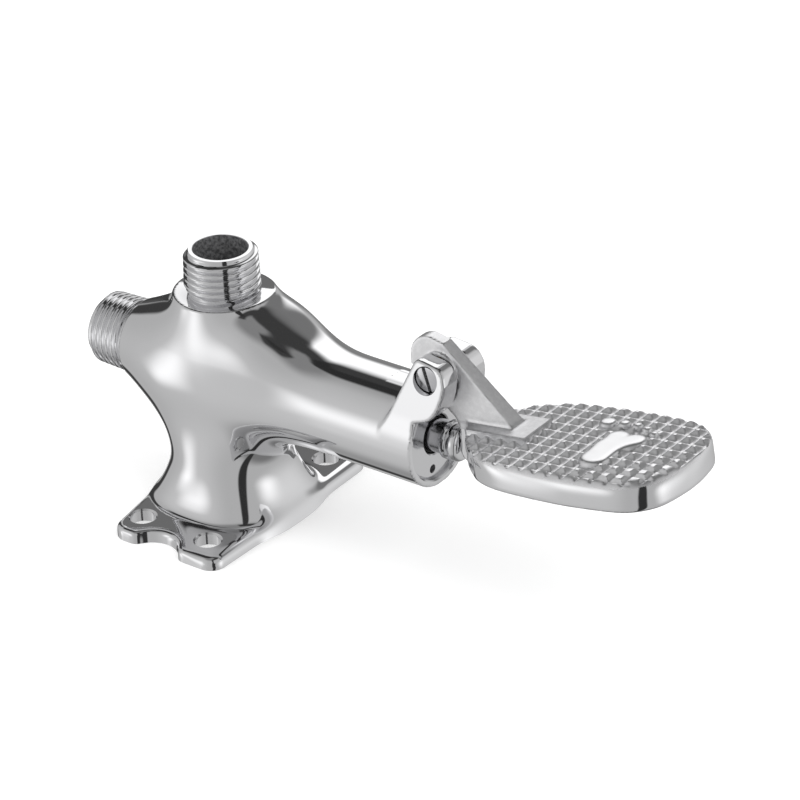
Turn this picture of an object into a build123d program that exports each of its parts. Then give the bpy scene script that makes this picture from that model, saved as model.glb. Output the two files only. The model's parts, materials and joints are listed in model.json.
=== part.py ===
"""Floor mounted pedal valve: a self-closing stop valve that a foot opens.

Frame: origin at the centre of the base's underside, below the outlet.
+Z is up, +X runs along the barrel towards the pedal, Y goes across.
All sizes are in millimetres.
"""
import os
from math import asin, atan, cos, hypot, radians, sin, sqrt, tan

from build123d import *

os.makedirs("parts", exist_ok=True)

# Overall places
axis_height = 41.3          # the barrel's axis above the floor
collar_place = -28.9        # where the inlet thread starts
barrel_front = 70.0         # the barrel's open end
outlet_rise = 22.2          # from the barrel's axis to the outlet's shoulder

# Half inch pipe threads, drawn as rings of the real pitch
thread_crest = 10.3
thread_depth = 1.15
thread_pitch = 1.814
thread_turns = 6
thread_undercut = 1.2
thread_lead = 0.7
thread_flat = 0.45
pipe_bore = 7.4

# Casting
barrel_radius = 13.9
collar_radius = 10.9
bulb_radius = 16.4
spotface_radius = 13.2
boss_foot_radius = 16.2
column_radius = 16.4
column_foot_radius = 20.6
column_neck_height = 13.5
foot_squareness = 2.8       # 2 is round
column_top_reach = 28.0
core_radius = 9.0
core_height = 20.0

# Base flange: its corner lobes reach further out on the pedal's side
flange_thickness = 3.5
lobe_radius = 4.5
lobe_rear_x = -11.3
lobe_front_x = 15.4
lobe_place_y = 29.6
hole_spacing_x = 22.4
hole_spacing_y = 51.6
hole_radius = 3.5
hole_countersink = 0.4
notch_radius = 7.7
notch_centre = 37.0
notch_rounding = 1.0

# Bores inside the casting
chamber_radius = 9.3
chamber_start = -27.0
seat_wall_left = -15.0
seat_wall_right = -9.6
seat_radius = 6.8
flow_radius = 8.6
spring_bore = 9.4
guide_place = 22.0
gland_depth = 15.0          # from the barrel's end to the gland's shoulder
gland_radius = 12.1

# Fits
thread_gap = 0.03           # between pieces that are screwed or pressed together
running_gap = 0.05          # between a shaft and its hole
rest_gap = 0.2              # between the pedal's nose and the button at rest

# Spindle and what it carries
rod_radius = 2.4
rod_shoulder_radius = 3.4
rod_shoulder_length = 4.0
stem_radius = 4.5
stem_start_gap = 3.0        # from the gland's shoulder to where the stem gets thick
travel = 4.0
disc_radius = 6.3
disc_thickness = 3.2
seat_bore = 4.7
seat_flange_radius = 8.3
seat_flange_thickness = 1.5
seat_gasket_thickness = 0.6
lip_height = 1.0
lip_width = 0.8
disc_washer_radius = 3.9
disc_washer_thickness = 0.8
holder_wall = 0.7
holder_floor = 2.0
holder_setback = 0.6        # the holder's rim stands back from the disc's face
lock_washer_thickness = 0.8
lock_washer_radius = 3.8
lock_washer_split = 0.8
disc_nut_height = 3.2
disc_nut_flats = 7.0
rod_end_length = 0.8

# Guide disc, spring and collar
guide_thickness = 3.0
guide_holes = 6
guide_hole_radius = 1.4
guide_hole_circle = 5.0
spring_seat_thickness = 0.8
spring_seat_bore = 6.6      # the spring seat leaves the guide's water holes open
spring_wire = 0.7
spring_mean = 7.6
spring_turns = 7
spring_collar_thickness = 2.0
spring_collar_radius = 8.9

# Gland
gasket_thickness = 1.2
gasket_bore = 8.8
gland_recess = 1.4
stem_ring_section = 0.85
stem_ring_setback = 6.4     # from the gland's face to between its two rings
stem_ring_spacing = 3.6
stem_groove_width = 2.0
wiper_radius = 5.4
wiper_depth = 2.6
wiper_thickness = 1.8
key_hole_radius = 1.2
key_hole_circle = 9.5
key_hole_depth = 3.0
front_chamfer = 0.5

# Button
button_radius = 5.1
button_flange_radius = 5.25
button_flange_thickness = 1.1
button_groove_depth = 0.3
button_groove_width = 0.4
button_length = 4.8
button_edge = 1.2
button_stop_gap = 0.3
button_pin_radius = 2.5
button_pin_length = 3.4

# Clevis and its screw
pivot_ahead = 2.2           # from the barrel's end to the pivot
pivot_rise = 20.7           # from the barrel's axis to the pivot
ear_inner = 3.0
ear_thickness = 6.0
ear_sink = 0.15             # how far the ears' faces lie inside the barrel's side
ear_foot_back = 9.5         # from the barrel's end to the back of the ear's foot
ear_foot_rise = 5.5         # from the barrel's axis to the back of the ear's foot
ear_top_back = 3.8          # from the pivot to the ear's upper back corner, along and up
ear_top_rise = 4.8
ear_top_ahead = 4.6         # from the pivot to the ear's upper front corner, along and up
ear_front_rise = 3.7
ear_ahead = 5.9             # from the pivot to the ear's front
ear_drop = 11.7             # from the pivot to where the front meets the barrel's end
ear_back_round = 1.5
ear_front_round = 2.0
screw_shank = 2.5
screw_head_radius = 3.3
screw_head_height = 2.2
screw_recess = 0.8
screw_slot_width = 1.1
screw_slot_depth = 1.0
screw_slot_turn = 18.0
counterbore_gap = 0.4
screw_point_gap = 0.5

# Pedal
web_foot_half = 2.75
web_top_half = 1.9
lug_back = 9.5              # from the pivot to the lug's back, and to its top
lug_rise = 8.4
lug_corner = 6.0
lug_inner_radius = 6.3
bush_radius = 4.0
web_shoulder_ahead = 0.7    # from the pivot to the web's upper bend, along and up
web_shoulder_rise = 7.6
web_foot_ahead = 22.2       # from the pivot to the web's foot, along and down
web_foot_drop = 9.8
nose_radius = 3.5
pad_tilt = 8.5
pad_ahead = 22.8            # from the pivot to the pad's own origin, along and down
pad_drop = 11.0
pad_half_width = 20.2
pad_front = 51.4
pad_back = -14.6
pad_thickness = 8.0
pad_edge_fillet = 1.0
tread_depth = 1.1
tread_pitch = 4.15
tread_offset_x = 2.6
platform_rise = 0.9
platform_half = 6.25
platform_front = 5.5
mark_rise = 0.3

# Foot mark, in half widths of the pad: along it, across it, and how large
heel_along = 1.37
heel_across = 0.376
heel_size = 0.213
ball_along = 1.446
ball_across = 0.198
ball_length = 0.297
ball_width = 0.178
toes = [
    (0.965, 0.525, 0.119),
    (1.188, 0.564, 0.084),
    (1.381, 0.564, 0.074),
    (1.554, 0.515, 0.069),
    (1.713, 0.426, 0.064),
]

# Places that follow from the sizes above
spotface_height = axis_height + outlet_rise
gland_shoulder = barrel_front - gland_depth
stem_start = gland_shoulder - stem_start_gap
pivot_x = barrel_front + pivot_ahead
pivot_z = axis_height + pivot_rise
ear_foot_x = barrel_front - ear_foot_back
ear_foot_z = axis_height + ear_foot_rise
lug_left = pivot_x - lug_back
lug_top = pivot_z + lug_rise
web_shoulder_x = pivot_x + web_shoulder_ahead
web_shoulder_z = pivot_z + web_shoulder_rise
web_foot_x = pivot_x + web_foot_ahead
web_foot_z = pivot_z - web_foot_drop
pad_origin_x = pivot_x + pad_ahead
pad_origin_z = pivot_z - pad_drop
thread_length = thread_undercut + thread_turns * thread_pitch + thread_lead
inlet_face = collar_place - thread_length
outlet_top = spotface_height + thread_length
ear_outer = ear_inner + ear_thickness
ear_tangent = barrel_radius - ear_sink
ear_lean = asin(ear_tangent / hypot(ear_outer, pivot_rise)) - atan(ear_outer / pivot_rise)
seat_flange = seat_wall_right + seat_gasket_thickness
lip_face = seat_wall_left - lip_height
disc_back = lip_face - disc_thickness
holder_back = disc_back - holder_floor
lock_back = holder_back - lock_washer_thickness
nut_back = lock_back - disc_nut_height
rod_end = nut_back - rod_end_length
shoulder_left = lip_face + disc_washer_thickness
shoulder_right = shoulder_left + rod_shoulder_length
spring_start = guide_place + guide_thickness + spring_seat_thickness
spring_end = stem_start - spring_collar_thickness
gland_back = gland_shoulder + gasket_thickness
gland_face = barrel_front - gland_recess
button_back = gland_face + travel + button_stop_gap
button_front = button_back + button_length
nose_x = button_front + rest_gap + nose_radius
shoulder_height = outlet_rise
stem_ring_place = gland_face - stem_ring_setback

axis_line = Axis((0, 0, axis_height), (1, 0, 0))
axis_plane = Plane((0, 0, axis_height), x_dir=(0, 1, 0), z_dir=(1, 0, 0))
pad_slope = (cos(radians(pad_tilt)), 0, sin(radians(pad_tilt)))
pad_normal = (-sin(radians(pad_tilt)), 0, cos(radians(pad_tilt)))
pad_plane = Plane((pad_origin_x, 0, pad_origin_z), x_dir=pad_slope, z_dir=pad_normal)


def turned_profile(points):
    """The outline to turn about the barrel's axis, from (x, radius) corners."""
    with BuildSketch(Plane.XZ) as outline:
        with BuildLine():
            Polyline([(x, axis_height + radius) for x, radius in points], close=True)
        make_face()
    return outline.sketch


def tube_profile(left, right, inner, outer):
    """The outline of a plain ring about the barrel's axis."""
    return turned_profile([(left, inner), (right, inner), (right, outer), (left, outer)])


def thread_outline():
    """Corners (distance from the shoulder, radius) of a pipe thread and its undercut."""
    root = thread_crest - thread_depth
    flank = (thread_pitch - 2 * thread_flat) / 2
    corners = [(0, root), (thread_undercut, root)]
    for turn in range(thread_turns):
        start = thread_undercut + turn * thread_pitch
        corners.append((start + flank, thread_crest))
        corners.append((start + flank + thread_flat, thread_crest))
        corners.append((start + 2 * flank + thread_flat, root))
        corners.append((start + thread_pitch, root))
    corners.append((thread_length, root))
    return corners


def rounded_square(reach, squareness):
    """Points round a foot section, a circle at 2 and squarer above it."""
    points = []
    for step in range(16):
        angle = radians(22.5 * step)
        along = abs(cos(angle)) ** (2 / squareness) * reach
        across = abs(sin(angle)) ** (2 / squareness) * reach
        points.append((along if cos(angle) > 0 else -along, across if sin(angle) > 0 else -across))
    return points


def arch(half_width, height, squareness):
    """Points over the top of a body section, round at 2 and fuller above it."""
    points = []
    for step in range(1, 12):
        angle = radians(180 * step / 12)
        across = abs(cos(angle)) ** (2 / squareness) * half_width
        above = sin(angle) ** (2 / squareness) * height
        points.append((across if step < 6 else -across, above))
    return [(half_width, 0)] + points + [(-half_width, 0)]


# Valve body: bulb and shoulder as one loft of arched sections, then a plain barrel.
# Each section: place along the barrel, half width, height above the axis, squareness
body_sections = [
    (collar_place, collar_radius, collar_radius, 2.0),
    (collar_place + 4, collar_radius + 1.5, collar_radius + 1.5, 2.0),
    (collar_place + 10, bulb_radius - 1.7, bulb_radius - 1.0, 2.0),
    (-12.0, bulb_radius, shoulder_height - 3.2, 2.1),
    (-4.0, bulb_radius + 0.2, shoulder_height - 0.5, 2.3),
    (5.0, bulb_radius + 0.2, shoulder_height - 0.1, 2.6),
    (spotface_radius, bulb_radius - 0.2, shoulder_height - 0.1, 3.0),
    (spotface_radius + 5.8, bulb_radius - 0.8, shoulder_height - 1.1, 2.8),
    (spotface_radius + 10.8, barrel_radius + 0.9, shoulder_height - 3.8, 2.5),
    (spotface_radius + 15.8, barrel_radius + 0.4, barrel_radius + 1.8, 2.3),
    (spotface_radius + 20.8, barrel_radius + 0.1, barrel_radius + 0.5, 2.1),
    (spotface_radius + 25.8, barrel_radius, barrel_radius, 2.0),
]
barrel_start = body_sections[-1][0]

# Clevis ears: their outer faces lean out and run into the barrel's sides
with BuildPart() as ears:
    with BuildSketch(Plane.XZ) as ear_outline:
        with BuildLine():
            ear_front = [
                (pivot_x + ear_ahead, pivot_z - 0.04 * ear_drop),
                (pivot_x + 0.95 * ear_ahead, pivot_z - 0.3 * ear_drop),
                (pivot_x + 0.83 * ear_ahead, pivot_z - 0.52 * ear_drop),
                (pivot_x + 0.63 * ear_ahead, pivot_z - 0.75 * ear_drop),
                (pivot_x + 0.3 * ear_ahead, pivot_z - 0.9 * ear_drop),
                (barrel_front, pivot_z - ear_drop),
            ]
            upper_back = (pivot_x - ear_top_back, pivot_z + ear_top_rise)
            upper_front = (pivot_x + ear_top_ahead, pivot_z + ear_front_rise)
            Spline(ear_front)
            Polyline(ear_front[-1], (barrel_front, axis_height), (ear_foot_x, axis_height),
                     (ear_foot_x, ear_foot_z), upper_back, upper_front, ear_front[0])
        make_face()
        tops = ear_outline.vertices().group_by(Axis.Z)
        fillet(tops[-1], ear_back_round)
        fillet(ear_outline.vertices().sort_by_distance((upper_front[0], 0, upper_front[1]))[0],
               ear_front_round)
    extrude(amount=barrel_radius, both=True)
    with BuildSketch(axis_plane.offset(ear_foot_x - 1)):
        with BuildLine():
            low = ear_tangent * sin(ear_lean)
            high = pivot_rise + ear_top_rise + 2
            low_half = ear_tangent * cos(ear_lean)
            high_half = ear_outer - (high - pivot_rise) * tan(ear_lean)
            Polyline((-low_half, low), (low_half, low), (high_half, high), (-high_half, high), close=True)
        make_face()
    extrude(amount=pivot_x + 2 * ear_ahead - ear_foot_x, mode=Mode.INTERSECT)
    with BuildSketch(Plane.XY.offset(axis_height)):
        with Locations((pivot_x, 0)):
            Rectangle(4 * ear_ahead, 2 * ear_inner)
    extrude(amount=pivot_z, mode=Mode.SUBTRACT)

with BuildPart() as valve_body:
    for place, half_width, height, squareness in body_sections:
        with BuildSketch(axis_plane.offset(place)):
            with BuildLine():
                if height == half_width:
                    ThreePointArc((half_width, 0), (0, height), (-half_width, 0))
                else:
                    Spline(arch(half_width, height, squareness), tangents=[(0, 1), (0, -1)])
                ThreePointArc((-half_width, 0), (0, -half_width), (half_width, 0))
            make_face()
    loft()
    with BuildSketch(axis_plane.offset(barrel_start)):
        Circle(barrel_radius)
    extrude(amount=barrel_front - barrel_start)

    # Outlet boss: a cone below the machined ring
    with BuildSketch(Plane.XY.offset(axis_height)):
        Circle(boss_foot_radius)
    with BuildSketch(Plane.XY.offset(spotface_height)):
        Circle(spotface_radius)
    loft()

    # Column: a flared foot, a round neck, and a top drawn out along the barrel
    # Each foot section: share of the foot's rise, share of its flare, squareness
    foot_start = flange_thickness - 1
    foot_rise = column_neck_height + 1 - foot_start
    foot_flare = column_foot_radius - 0.1 - column_radius
    foot_sections = [
        (0, 1.0, foot_squareness),
        (0.27, 0.54, foot_squareness - 0.2),
        (0.58, 0.2, foot_squareness - 0.5),
        (1.0, -0.04, 2.0),
    ]
    for up, out, squareness in foot_sections:
        with BuildSketch(Plane.XY.offset(foot_start + up * foot_rise)):
            with BuildLine():
                Spline(rounded_square(column_radius + out * foot_flare, squareness), periodic=True)
            make_face()
    loft()
    with BuildSketch(Plane.XY):
        Circle(column_radius)
    extrude(amount=axis_height / 2)
    with BuildSketch(Plane.XY.offset(column_neck_height + 4)):
        Circle(column_radius)
    with BuildSketch(Plane.XY.offset(axis_height - 13)):
        Ellipse(column_top_reach - 5, column_radius - 0.8)
    with BuildSketch(Plane.XY.offset(axis_height - 5)):
        Ellipse(column_top_reach, column_radius - 1.2)
    loft()

    # Base flange with four lobes
    with BuildSketch() as flange_outline:
        with GridLocations(0, 2 * lobe_place_y, 1, 2):
            with Locations((lobe_rear_x, 0), (lobe_front_x, 0)):
                Circle(lobe_radius)
        Circle(column_foot_radius)
        make_hull()
        with Locations((0, notch_centre), (0, -notch_centre)):
            Circle(notch_radius, mode=Mode.SUBTRACT)
        fillet(flange_outline.vertices().group_by(Axis.Y)[-1], notch_rounding)
        fillet(flange_outline.vertices().group_by(Axis.Y)[0], notch_rounding)
    extrude(amount=flange_thickness)

    # Clevis ears, one each side of the pedal's lug
    add(ears.part)
    with BuildSketch(axis_plane.offset(barrel_start)):
        Circle(barrel_radius)
    extrude(amount=barrel_front - barrel_start)

    # Threaded necks
    with BuildSketch(Plane.XZ):
        with BuildLine():
            neck = [(radius, spotface_height + distance) for distance, radius in thread_outline()]
            Polyline([(0, spotface_height - 2), (neck[0][0], spotface_height - 2)] + neck
                     + [(0, outlet_top)], close=True)
        make_face()
    revolve(axis=Axis.Z)
    inlet = [(collar_place - distance, radius) for distance, radius in thread_outline()]
    revolve(turned_profile([(collar_place + 2, 0), (collar_place + 2, inlet[0][1])] + inlet
                           + [(inlet_face, 0)]), axis=axis_line)

    # Waterways and the barrel's stepped bore
    bores = [
        (inlet_face, chamber_start, pipe_bore),
        (chamber_start, seat_wall_left, chamber_radius),
        (seat_wall_left, seat_wall_right, seat_radius),
        (seat_wall_right, guide_place, flow_radius),
        (guide_place, gland_shoulder, spring_bore),
        (gland_shoulder, barrel_front, gland_radius),
        (barrel_front, pivot_x + 2 * ear_ahead, gland_radius + 0.1),
    ]
    for left, right, radius in bores:
        with BuildSketch(axis_plane.offset(left)):
            Circle(radius)
        extrude(amount=right - left, mode=Mode.SUBTRACT)
    with BuildSketch(Plane.XY.offset(axis_height)):
        Circle(pipe_bore)
    extrude(amount=outlet_top - axis_height, mode=Mode.SUBTRACT)
    with BuildSketch(Plane.XY):
        Circle(core_radius)
    extrude(amount=core_height, mode=Mode.SUBTRACT)

    # Holes for the floor screws
    with BuildSketch(Plane.XY):
        with GridLocations(hole_spacing_x, hole_spacing_y, 2, 2):
            Circle(hole_radius)
    extrude(amount=axis_height / 2, mode=Mode.SUBTRACT)

    # Pivot hole: counterbored in the near ear, tapped in the far one
    with BuildSketch(Plane.XZ.offset(-barrel_radius)):
        with Locations((pivot_x, pivot_z)):
            Circle(screw_shank + thread_gap)
    extrude(amount=2 * barrel_radius, mode=Mode.SUBTRACT)
    with BuildSketch(Plane.XZ.offset(ear_outer - screw_recess - screw_head_height)):
        with Locations((pivot_x, pivot_z)):
            Circle(screw_head_radius + counterbore_gap)
    extrude(amount=ear_thickness, mode=Mode.SUBTRACT)
valve_body.part.label = "valve_body"
export_step(valve_body.part, "parts/valve_body.step")


# Valve seat: a screwed ring with a raised lip for the disc
with BuildPart() as valve_seat:
    seat_outer = seat_radius - thread_gap
    lip_outer = seat_bore + 2 * lip_width
    revolve(turned_profile([
        (seat_flange + seat_flange_thickness, seat_bore),
        (seat_flange + seat_flange_thickness, seat_flange_radius),
        (seat_flange, seat_flange_radius),
        (seat_flange, seat_outer),
        (seat_wall_left, seat_outer),
        (seat_wall_left, lip_outer),
        (lip_face, lip_outer - lip_width / 2),
        (lip_face, seat_bore + lip_width / 2),
        (lip_face + lip_height / 2, seat_bore),
    ]), axis=axis_line)
valve_seat.part.label = "valve_seat"
export_step(valve_seat.part, "parts/valve_seat.step")

with BuildPart() as seat_gasket:
    revolve(tube_profile(seat_wall_right, seat_flange, seat_radius, seat_flange_radius),
            axis=axis_line)
seat_gasket.part.label = "seat_gasket"
export_step(seat_gasket.part, "parts/seat_gasket.step")

# Spindle: rod, disc shoulder and the polished stem in one turned piece
with BuildPart() as spindle:
    revolve(turned_profile([
        (rod_end, 0),
        (rod_end, rod_radius - 0.3),
        (rod_end + 0.3, rod_radius),
        (shoulder_left, rod_radius),
        (shoulder_left, rod_shoulder_radius),
        (shoulder_right, rod_shoulder_radius),
        (shoulder_right + 1, rod_radius),
        (stem_start, rod_radius),
        (stem_start, stem_radius),
        (button_back, stem_radius),
        (button_back, button_pin_radius),
        (button_back + button_pin_length, button_pin_radius),
        (button_back + button_pin_length, 0),
    ]), axis=axis_line)
spindle.part.label = "spindle"
export_step(spindle.part, "parts/spindle.step")

# Disc washer, rubber disc, holder cup and nut on the rod's inner end
rod_fit = rod_radius + thread_gap
with BuildPart() as disc_washer:
    revolve(tube_profile(lip_face, shoulder_left, rod_fit, disc_washer_radius), axis=axis_line)
disc_washer.part.label = "disc_washer"
export_step(disc_washer.part, "parts/disc_washer.step")

with BuildPart() as rubber_disc:
    revolve(tube_profile(disc_back, lip_face, rod_fit, disc_radius), axis=axis_line)
rubber_disc.part.label = "rubber_disc"
export_step(rubber_disc.part, "parts/rubber_disc.step")

with BuildPart() as disc_holder:
    cup_inner = disc_radius + thread_gap
    revolve(turned_profile([
        (holder_back, rod_fit),
        (disc_back, rod_fit),
        (disc_back, cup_inner),
        (lip_face - holder_setback, cup_inner),
        (lip_face - holder_setback, cup_inner + holder_wall),
        (holder_back + 0.6, cup_inner + holder_wall),
        (holder_back, cup_inner),
    ]), axis=axis_line)
disc_holder.part.label = "disc_holder"
export_step(disc_holder.part, "parts/disc_holder.step")

with BuildPart() as lock_washer:
    with BuildSketch(axis_plane.offset(lock_back)):
        Circle(lock_washer_radius)
        Circle(rod_fit, mode=Mode.SUBTRACT)
        with Locations((0, lock_washer_radius)):
            Rectangle(lock_washer_split, 2 * lock_washer_radius, mode=Mode.SUBTRACT)
    extrude(amount=lock_washer_thickness)
lock_washer.part.label = "lock_washer"
export_step(lock_washer.part, "parts/lock_washer.step")

with BuildPart() as disc_nut:
    with BuildSketch(axis_plane.offset(nut_back)):
        RegularPolygon(disc_nut_flats / 2, 6, major_radius=False)
        Circle(rod_fit, mode=Mode.SUBTRACT)
    extrude(amount=disc_nut_height)
disc_nut.part.label = "disc_nut"
export_step(disc_nut.part, "parts/disc_nut.step")

# Guide disc: carries the rod and the spring, and lets water pass
with BuildPart() as guide_disc:
    with BuildSketch(axis_plane.offset(guide_place)):
        Circle(spring_bore - thread_gap)
        Circle(rod_radius + running_gap, mode=Mode.SUBTRACT)
        with PolarLocations(guide_hole_circle, guide_holes):
            Circle(guide_hole_radius, mode=Mode.SUBTRACT)
    extrude(amount=guide_thickness)
guide_disc.part.label = "guide_disc"
export_step(guide_disc.part, "parts/guide_disc.step")

with BuildPart() as spring_seat:
    revolve(tube_profile(guide_place + guide_thickness, spring_start, spring_seat_bore,
                         spring_collar_radius), axis=axis_line)
spring_seat.part.label = "spring_seat"
export_step(spring_seat.part, "parts/spring_seat.step")

# Return spring: an open coil between its seat and the collar
with BuildPart() as return_spring:
    spring_length = spring_end - spring_start - 2 * spring_wire
    spring_pitch = spring_length / spring_turns
    coil_place = Location((spring_start + spring_wire, 0, axis_height), (0, 90, 0))
    with BuildLine() as coil:
        Helix(spring_pitch, spring_length, spring_mean)
    coil_path = coil.line.moved(coil_place)
    with BuildSketch(Plane(coil_path @ 0, z_dir=coil_path % 0)):
        Circle(spring_wire)
    sweep(path=coil_path, is_frenet=True)
return_spring.part.label = "return_spring"
export_step(return_spring.part, "parts/return_spring.step")

with BuildPart() as spring_collar:
    revolve(turned_profile([
        (spring_end, rod_fit),
        (stem_start, rod_fit),
        (stem_start, spring_collar_radius),
        (spring_end, spring_collar_radius),
    ]), axis=axis_line)
spring_collar.part.label = "spring_collar"
export_step(spring_collar.part, "parts/spring_collar.step")

# Gland nut: closes the barrel, guides the stem and holds its two rings
stem_bore = stem_radius + running_gap
stem_groove = stem_bore + 2 * stem_ring_section
with BuildPart() as gland_gasket:
    revolve(tube_profile(gland_shoulder, gland_back, gasket_bore, gland_radius - thread_gap),
            axis=axis_line)
gland_gasket.part.label = "gland_gasket"
export_step(gland_gasket.part, "parts/gland_gasket.step")

with BuildPart() as gland_nut:
    gland_outer = gland_radius - thread_gap
    revolve(turned_profile([
        (gland_back, stem_bore),
        (gland_face - wiper_depth, stem_bore),
        (gland_face - wiper_depth, wiper_radius + thread_gap),
        (gland_face, wiper_radius + thread_gap),
        (gland_face, gland_outer - front_chamfer),
        (gland_face - front_chamfer, gland_outer),
        (gland_back, gland_outer),
    ]), axis=axis_line)
    for ring in range(2):
        middle = stem_ring_place + ring * stem_ring_spacing - stem_ring_spacing / 2
        left = middle - stem_groove_width / 2
        revolve(tube_profile(left, left + stem_groove_width, stem_bore - 1, stem_groove),
                axis=axis_line, mode=Mode.SUBTRACT)
    with BuildSketch(axis_plane.offset(gland_face)):
        with PolarLocations(key_hole_circle, 2, start_angle=77):
            Circle(key_hole_radius)
    extrude(amount=-key_hole_depth, mode=Mode.SUBTRACT)
gland_nut.part.label = "gland_nut"
export_step(gland_nut.part, "parts/gland_nut.step")

for ring in range(2):
    middle = stem_ring_place + ring * stem_ring_spacing - stem_ring_spacing / 2
    with BuildPart() as stem_ring:
        with BuildSketch(Plane.XZ):
            with Locations((middle, axis_height + stem_bore + stem_ring_section)):
                Circle(stem_ring_section - thread_gap / 2)
        revolve(axis=axis_line)
    name = ("stem_ring_inner", "stem_ring_outer")[ring]
    stem_ring.part.label = name
    export_step(stem_ring.part, f"parts/{name}.step")

with BuildPart() as wiper_ring:
    wiper_left = gland_face - wiper_depth + thread_gap
    revolve(tube_profile(wiper_left, wiper_left + wiper_thickness, stem_bore, wiper_radius),
            axis=axis_line)
wiper_ring.part.label = "wiper_ring"
export_step(wiper_ring.part, "parts/wiper_ring.step")

# Push button on the stem's outer end
with BuildPart() as push_button:
    groove_left = button_back + button_flange_thickness
    groove_right = groove_left + button_groove_width
    pin_end = button_back + button_pin_length + thread_gap
    revolve(turned_profile([
        (button_back, button_pin_radius + thread_gap),
        (button_back, button_flange_radius - 0.2),
        (button_back + 0.2, button_flange_radius),
        (groove_left, button_flange_radius),
        (groove_left, button_radius - button_groove_depth),
        (groove_right, button_radius - button_groove_depth),
        (groove_right, button_radius),
        (button_front, button_radius),
        (button_front, 0),
        (pin_end, 0),
        (pin_end, button_pin_radius + thread_gap),
    ]), axis=axis_line)
    fillet(push_button.edges().filter_by(GeomType.CIRCLE).group_by(Axis.X)[-1], button_edge)
push_button.part.label = "push_button"
export_step(push_button.part, "parts/push_button.step")

# Pivot screw: slotted head sunk in the near ear, tapped into the far ear
with BuildPart() as pivot_screw:
    head_top = -(ear_outer - screw_recess)
    with BuildSketch(Plane.XZ.offset(-head_top)):
        with Locations((pivot_x, pivot_z)):
            Circle(screw_head_radius)
    extrude(amount=-screw_head_height)
    with BuildSketch(Plane.XZ.offset(-head_top - screw_head_height)):
        with Locations((pivot_x, pivot_z)):
            Circle(screw_shank)
    shank_length = ear_outer - screw_point_gap - head_top - screw_head_height
    extrude(amount=-shank_length)
    with BuildSketch(Plane.XZ.offset(-head_top)):
        with Locations(Location((pivot_x, pivot_z, 0), (0, 0, 90 + screw_slot_turn))):
            Rectangle(3 * screw_head_radius, screw_slot_width)
    extrude(amount=-screw_slot_depth, mode=Mode.SUBTRACT)
pivot_screw.part.label = "pivot_screw"
export_step(pivot_screw.part, "parts/pivot_screw.step")

with BuildPart() as pivot_bush:
    with BuildSketch(Plane.XZ.offset(-web_foot_half)):
        with Locations((pivot_x, pivot_z)):
            Circle(bush_radius)
            Circle(screw_shank + running_gap, mode=Mode.SUBTRACT)
    extrude(amount=2 * web_foot_half)
pivot_bush.part.label = "pivot_bush"
export_step(pivot_bush.part, "parts/pivot_bush.step")


# The pedal's blade, drawn from the side: lug over the pivot, web and nose
with BuildPart() as blade:
    hub_start = radians(-75)
    hub_end = radians(200)
    hub_right = (pivot_x + lug_inner_radius * cos(hub_start), pivot_z + lug_inner_radius * sin(hub_start))
    hub_left = (pivot_x + lug_inner_radius * cos(hub_end), pivot_z + lug_inner_radius * sin(hub_end))
    corner_place = lug_corner * (1 - sqrt(0.5))
    with BuildSketch(Plane.XZ):
        with BuildLine():
            Line((lug_left, pivot_z - 0.6), (lug_left, lug_top - lug_corner))
            ThreePointArc(
                (lug_left, lug_top - lug_corner),
                (lug_left + corner_place, lug_top - corner_place),
                (lug_left + lug_corner, lug_top),
            )
            Polyline((lug_left + lug_corner, lug_top), (web_shoulder_x, web_shoulder_z),
                     (web_foot_x, web_foot_z), (web_foot_x, web_foot_z - pad_thickness / 2),
                     (nose_x + nose_radius, axis_height))
            ThreePointArc(
                (nose_x + nose_radius, axis_height),
                (nose_x, axis_height - nose_radius),
                (nose_x - nose_radius, axis_height),
            )
            Line((nose_x - nose_radius, axis_height), (nose_x - nose_radius, axis_height + 5.2))
            Spline((nose_x - nose_radius, axis_height + 5.2), (nose_x - nose_radius - 1.7, axis_height + 9.0),
                   (hub_right[0] + 0.3, axis_height + 10.6), tangents=[(0, 1), (-1, 0.45)])
            Line((hub_right[0] + 0.3, axis_height + 10.6), hub_right)
            ThreePointArc(hub_right, (pivot_x, pivot_z - lug_inner_radius), hub_left)
            Line(hub_left, (lug_left, pivot_z - 0.6))
        make_face()
    extrude(amount=web_foot_half, both=True)
    # Both sides lean in towards the top
    with BuildSketch(Plane((lug_left - 1, 0, 0), x_dir=(0, 1, 0), z_dir=(1, 0, 0))) as draft:
        Polygon((web_foot_half, web_foot_z), (web_foot_half + 1, web_foot_z),
                (web_foot_half + 1, lug_top + 1), (web_top_half, lug_top + 1), align=None)
        mirror(about=Plane.YZ)
    extrude(amount=web_foot_x - lug_left + 2, mode=Mode.SUBTRACT)


# Pedal: blade and treaded pad in one casting
def pad_outline():
    """The pad's rim: a rounded front, long gentle sides and a narrower back."""
    side = [
        (pad_front, 0),
        (pad_front - 0.8, pad_half_width * 0.37),
        (pad_front - 2.9, pad_half_width * 0.64),
        (pad_front - 6.2, pad_half_width * 0.85),
        (pad_front - 11.5, pad_half_width * 0.95),
        (pad_front * 0.47, pad_half_width),
        (pad_front * 0.2, pad_half_width * 0.965),
        (pad_front * 0.04, pad_half_width * 0.9),
        (pad_back + 11, pad_half_width * 0.785),
        (pad_back + 5.2, pad_half_width * 0.545),
        (pad_back + 1.8, pad_half_width * 0.33),
        (pad_back, pad_half_width * 0.12),
    ]
    return side + [(u, -v) for u, v in reversed(side[1:])]


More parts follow.
